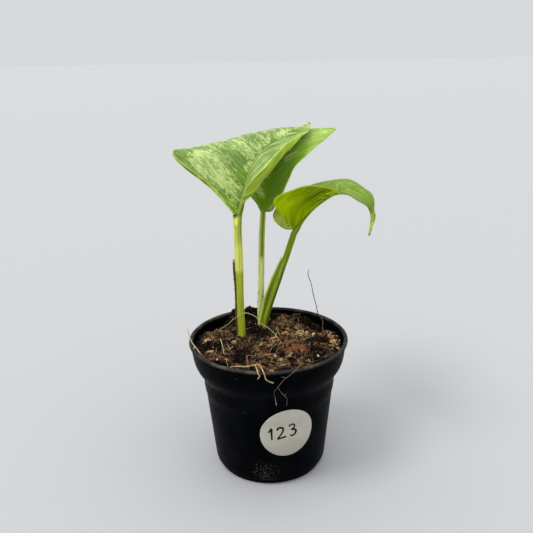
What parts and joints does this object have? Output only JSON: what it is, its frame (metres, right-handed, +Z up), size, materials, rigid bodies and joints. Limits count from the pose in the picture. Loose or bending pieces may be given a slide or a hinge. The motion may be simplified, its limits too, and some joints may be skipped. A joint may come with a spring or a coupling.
{
  "type": "potted marble queen pothos",
  "caption": "Young variegated pothos in a small black nursery pot: long-stalked marbled leaves, one with a drip tip, roots over the rim and a round paper label.",
  "frame": {"origin": "middle of the pot's flat underside", "axes": "+Z up along the pot's axis; -Y is the front, where the round label and the viewer of the picture are; +X to that viewer's right"},
  "size_m": [0.0928, 0.1213, 0.1581],
  "materials": {
    "black_plastic": "satin",
    "label_paper": "matte",
    "potting_soil": "matte",
    "leaf_marbled": "satin",
    "leaf_dark": "satin",
    "leaf_green": "satin",
    "dry_sheath": "matte",
    "root_tan": "matte",
    "root_brown": "matte",
    "bark": "matte",
    "perlite": "matte",
    "label_ink": "matte"
  },
  "bodies": {
    "root": {"pot": "black_plastic", "label": "label_paper", "soil": "potting_soil", "leaf_left": "leaf_marbled", "leaf_back": "leaf_dark", "leaf_right": "leaf_green", "dry_sheath": "dry_sheath", "root_arch": "root_tan", "root_front_fork": "root_tan", "root_left_rim": "root_tan", "root_small": "root_tan", "root_rim_fork": "root_brown", "root_upright": "root_brown"}
  },
  "joints": []
}
